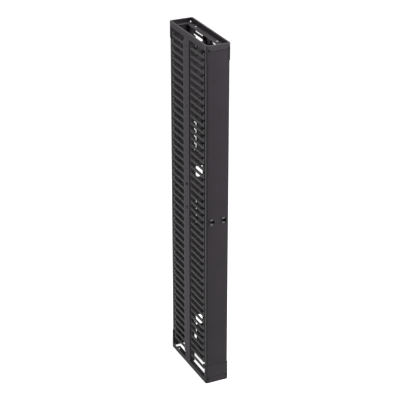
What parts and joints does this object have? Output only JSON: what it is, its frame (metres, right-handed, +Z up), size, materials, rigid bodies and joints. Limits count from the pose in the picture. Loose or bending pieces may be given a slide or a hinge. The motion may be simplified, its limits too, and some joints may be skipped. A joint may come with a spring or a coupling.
{
  "type": "vertical cable manager",
  "caption": "Tall open-sided vertical cable manager for racks, with cable fingers down both sides and a dual-hinged, pinch-latched door at front and rear.",
  "frame": {"origin": "on the floor, under the middle of the width and depth", "axes": "+X to the right, -Y out of the front door, +Z up"},
  "size_m": [0.146, 0.488, 2.12],
  "materials": {
    "powder_coated_steel": "fine-textured charcoal powder coat",
    "moulded_fingers": "moulded, fine grain",
    "moulded_caps": "moulded, fine grain",
    "guide_nylon": "plain nylon",
    "latch_plastic": "satin",
    "plated_steel": "zinc plated",
    "spring_steel": "drawn wire and strip",
    "zinc_screws": "dark zinc"
  },
  "bodies": {
    "frame": {"post_left": "powder_coated_steel", "post_right": "powder_coated_steel", "mid_panel": "powder_coated_steel", "top_rail_left": "powder_coated_steel", "top_rail_right": "powder_coated_steel", "top_cap_front": "moulded_caps", "top_cap_rear": "moulded_caps", "base_rail_left": "powder_coated_steel", "base_rail_right": "powder_coated_steel", "base_cap_front": "moulded_caps", "base_cap_rear": "moulded_caps", "screws": "zinc_screws", "hinge_clips_front": "spring_steel", "hinge_clips_rear": "spring_steel", "fingers_front_left_1": "moulded_fingers", "fingers_front_left_2": "moulded_fingers", "fingers_front_left_3": "moulded_fingers", "fingers_front_right_1": "moulded_fingers", "fingers_front_right_2": "moulded_fingers", "fingers_front_right_3": "moulded_fingers", "fingers_rear_left_1": "moulded_fingers", "fingers_rear_left_2": "moulded_fingers", "fingers_rear_left_3": "moulded_fingers", "fingers_rear_right_1": "moulded_fingers", "fingers_rear_right_2": "moulded_fingers", "fingers_rear_right_3": "moulded_fingers"},
    "front_door": {"front_door_panel": "powder_coated_steel", "front_door_edge_left": "powder_coated_steel", "front_door_edge_right": "powder_coated_steel", "front_door_blocks": "moulded_caps", "front_door_foot": "moulded_caps", "front_door_guides": "guide_nylon", "front_latch_cups": "latch_plastic", "front_left_springs": "spring_steel", "front_right_springs": "spring_steel"},
    "rear_door": {"rear_door_panel": "powder_coated_steel", "rear_door_edge_left": "powder_coated_steel", "rear_door_edge_right": "powder_coated_steel", "rear_door_blocks": "moulded_caps", "rear_door_foot": "moulded_caps", "rear_door_guides": "guide_nylon", "rear_latch_cups": "latch_plastic", "rear_left_springs": "spring_steel", "rear_right_springs": "spring_steel"},
    "front_left_upper_bolt": {"front_left_upper_rod": "plated_steel", "front_left_upper_pad": "latch_plastic"},
    "front_left_lower_bolt": {"front_left_lower_rod": "plated_steel", "front_left_lower_pad": "latch_plastic"},
    "front_right_upper_bolt": {"front_right_upper_rod": "plated_steel", "front_right_upper_pad": "latch_plastic"},
    "front_right_lower_bolt": {"front_right_lower_rod": "plated_steel", "front_right_lower_pad": "latch_plastic"},
    "rear_left_upper_bolt": {"rear_left_upper_rod": "plated_steel", "rear_left_upper_pad": "latch_plastic"},
    "rear_left_lower_bolt": {"rear_left_lower_rod": "plated_steel", "rear_left_lower_pad": "latch_plastic"},
    "rear_right_upper_bolt": {"rear_right_upper_rod": "plated_steel", "rear_right_upper_pad": "latch_plastic"},
    "rear_right_lower_bolt": {"rear_right_lower_rod": "plated_steel", "rear_right_lower_pad": "latch_plastic"}
  },
  "joints": [
    {"name": "front_door_hinge", "type": "hinge", "parent": "frame", "child": "front_door", "pos_m": [0.061, -0.23, 0], "axis": [0, 0, 1], "range_deg": [0, 110], "deforming": ["hinge_clips_front"]},
    {"name": "front_left_upper_slide", "type": "slide", "parent": "front_door", "child": "front_left_upper_bolt", "axis": [0, 0, -1], "range_m": [0, 0.0095], "stiffness_N_per_m": 600, "springref_m": -0.012, "deforming": ["front_left_springs"]},
    {"name": "front_left_lower_slide", "type": "slide", "parent": "front_door", "child": "front_left_lower_bolt", "axis": [0, 0, 1], "range_m": [0, 0.0095], "stiffness_N_per_m": 600, "springref_m": -0.012, "deforming": ["front_left_springs"]},
    {"name": "front_right_upper_slide", "type": "slide", "parent": "front_door", "child": "front_right_upper_bolt", "axis": [0, 0, -1], "range_m": [0, 0.0095], "stiffness_N_per_m": 600, "springref_m": -0.012, "deforming": ["front_right_springs"]},
    {"name": "front_right_lower_slide", "type": "slide", "parent": "front_door", "child": "front_right_lower_bolt", "axis": [0, 0, 1], "range_m": [0, 0.0095], "stiffness_N_per_m": 600, "springref_m": -0.012, "deforming": ["front_right_springs"]},
    {"name": "rear_door_hinge", "type": "hinge", "parent": "frame", "child": "rear_door", "pos_m": [-0.061, 0.23, 0], "axis": [0, 0, 1], "range_deg": [0, 110], "deforming": ["hinge_clips_rear"]},
    {"name": "rear_left_upper_slide", "type": "slide", "parent": "rear_door", "child": "rear_left_upper_bolt", "axis": [0, 0, -1], "range_m": [0, 0.0095], "stiffness_N_per_m": 600, "springref_m": -0.012, "deforming": ["rear_left_springs"]},
    {"name": "rear_left_lower_slide", "type": "slide", "parent": "rear_door", "child": "rear_left_lower_bolt", "axis": [0, 0, 1], "range_m": [0, 0.0095], "stiffness_N_per_m": 600, "springref_m": -0.012, "deforming": ["rear_left_springs"]},
    {"name": "rear_right_upper_slide", "type": "slide", "parent": "rear_door", "child": "rear_right_upper_bolt", "axis": [0, 0, -1], "range_m": [0, 0.0095], "stiffness_N_per_m": 600, "springref_m": -0.012, "deforming": ["rear_right_springs"]},
    {"name": "rear_right_lower_slide", "type": "slide", "parent": "rear_door", "child": "rear_right_lower_bolt", "axis": [0, 0, 1], "range_m": [0, 0.0095], "stiffness_N_per_m": 600, "springref_m": -0.012, "deforming": ["rear_right_springs"]}
  ]
}
